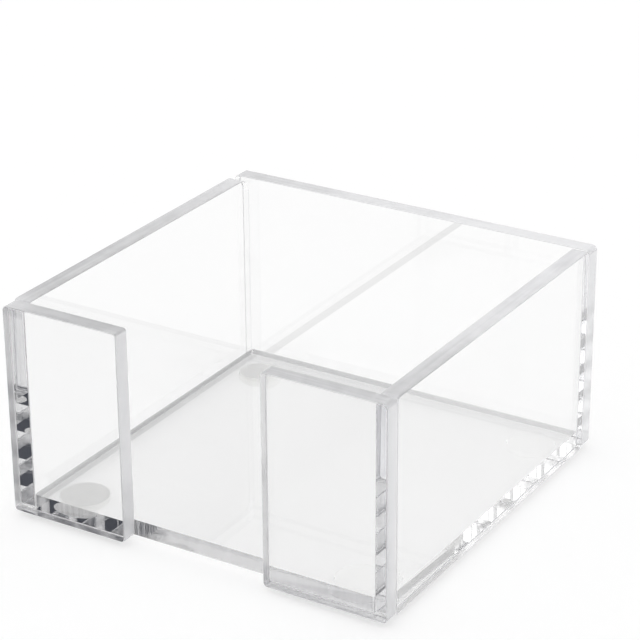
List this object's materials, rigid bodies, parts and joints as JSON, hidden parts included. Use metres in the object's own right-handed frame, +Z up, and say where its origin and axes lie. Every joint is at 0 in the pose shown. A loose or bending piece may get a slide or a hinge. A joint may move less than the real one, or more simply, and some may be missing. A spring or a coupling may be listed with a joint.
{
  "type": "memo paper holder",
  "caption": "Open square holder for loose memo paper, cemented from clear acrylic plates, with a finger gap in front and round stick-on feet.",
  "frame": {"origin": "centre of the footprint, on the surface that the feet stand on", "axes": "+Z up; the front wall with the finger gap faces -Y; +X to the right seen from the front"},
  "size_m": [0.1016, 0.1016, 0.0545],
  "materials": {
    "clear_acrylic": "clear cast acrylic sheet with polished faces and smooth cut edges",
    "foot_pad": "soft translucent polyurethane",
    "foot_adhesive": "clear pressure-sensitive adhesive film"
  },
  "bodies": {
    "root": {"base_plate": "clear_acrylic", "back_panel": "clear_acrylic", "left_side_panel": "clear_acrylic", "right_side_panel": "clear_acrylic", "front_left_panel": "clear_acrylic", "front_right_panel": "clear_acrylic", "foot_front_left": "foot_pad", "foot_front_right": "foot_pad", "foot_back_left": "foot_pad", "foot_back_right": "foot_pad", "foot_adhesive_front_left": "foot_adhesive", "foot_adhesive_front_right": "foot_adhesive", "foot_adhesive_back_left": "foot_adhesive", "foot_adhesive_back_right": "foot_adhesive"}
  },
  "joints": []
}
